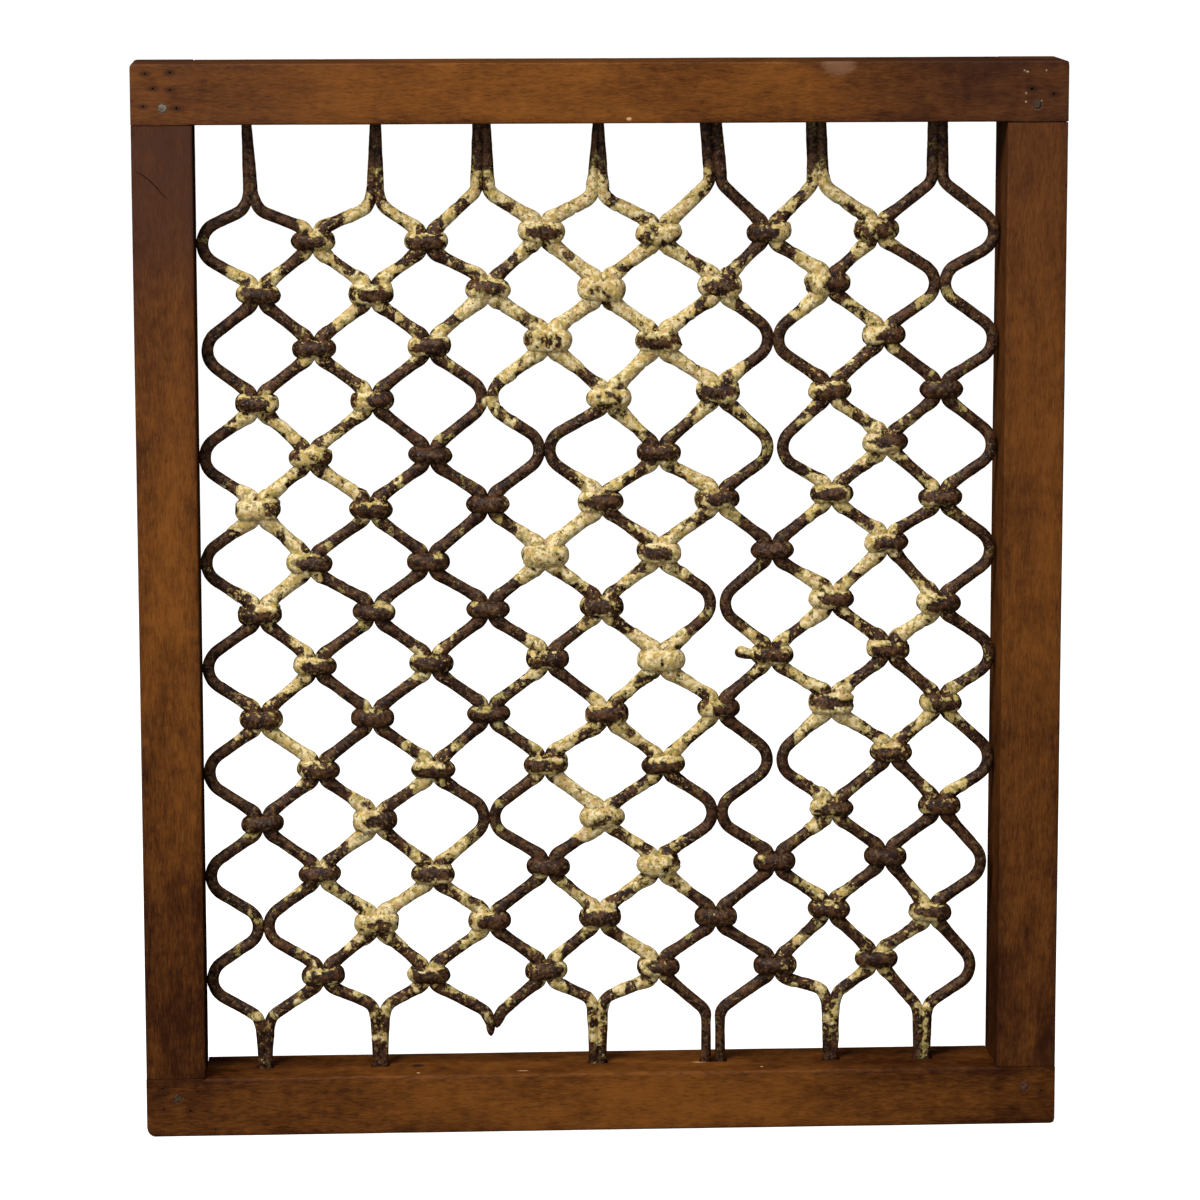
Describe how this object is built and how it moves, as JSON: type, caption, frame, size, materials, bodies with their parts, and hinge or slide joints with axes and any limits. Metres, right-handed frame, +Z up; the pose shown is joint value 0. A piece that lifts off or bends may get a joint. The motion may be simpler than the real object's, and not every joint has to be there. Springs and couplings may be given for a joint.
{
  "type": "jali window",
  "caption": "Fixed window: a rectangular wooden frame holding a lattice of paired wavy iron rods, tied at their crossings by forged collars, with worn flaking paint.",
  "frame": {"origin": "on the underside of the bottom rail, under the middle of the frame", "axes": "+Z up along the stiles, +X to the right across the window, -Y out of its front face"},
  "size_m": [0.765, 0.075, 0.895],
  "materials": {
    "wood": "oiled hardwood, satin, worn",
    "painted_iron": "rusty forged iron with thick flaking cream and ochre paint",
    "pin_iron": "dull worn iron, flush with the wood"
  },
  "bodies": {
    "root": {"top_rail": "wood", "bottom_rail": "wood", "left_stile": "wood", "right_stile": "wood", "top_left_pin": "pin_iron", "bottom_left_pin": "pin_iron", "top_right_pin": "pin_iron", "bottom_right_pin": "pin_iron", "rod_01": "painted_iron", "rod_02": "painted_iron", "rod_03": "painted_iron", "rod_04": "painted_iron", "rod_05": "painted_iron", "rod_06": "painted_iron", "rod_07": "painted_iron", "rod_08": "painted_iron", "rod_09": "painted_iron", "rod_10": "painted_iron", "rod_11": "painted_iron", "rod_12": "painted_iron", "rod_13": "painted_iron", "rod_14": "painted_iron"}
  },
  "joints": []
}
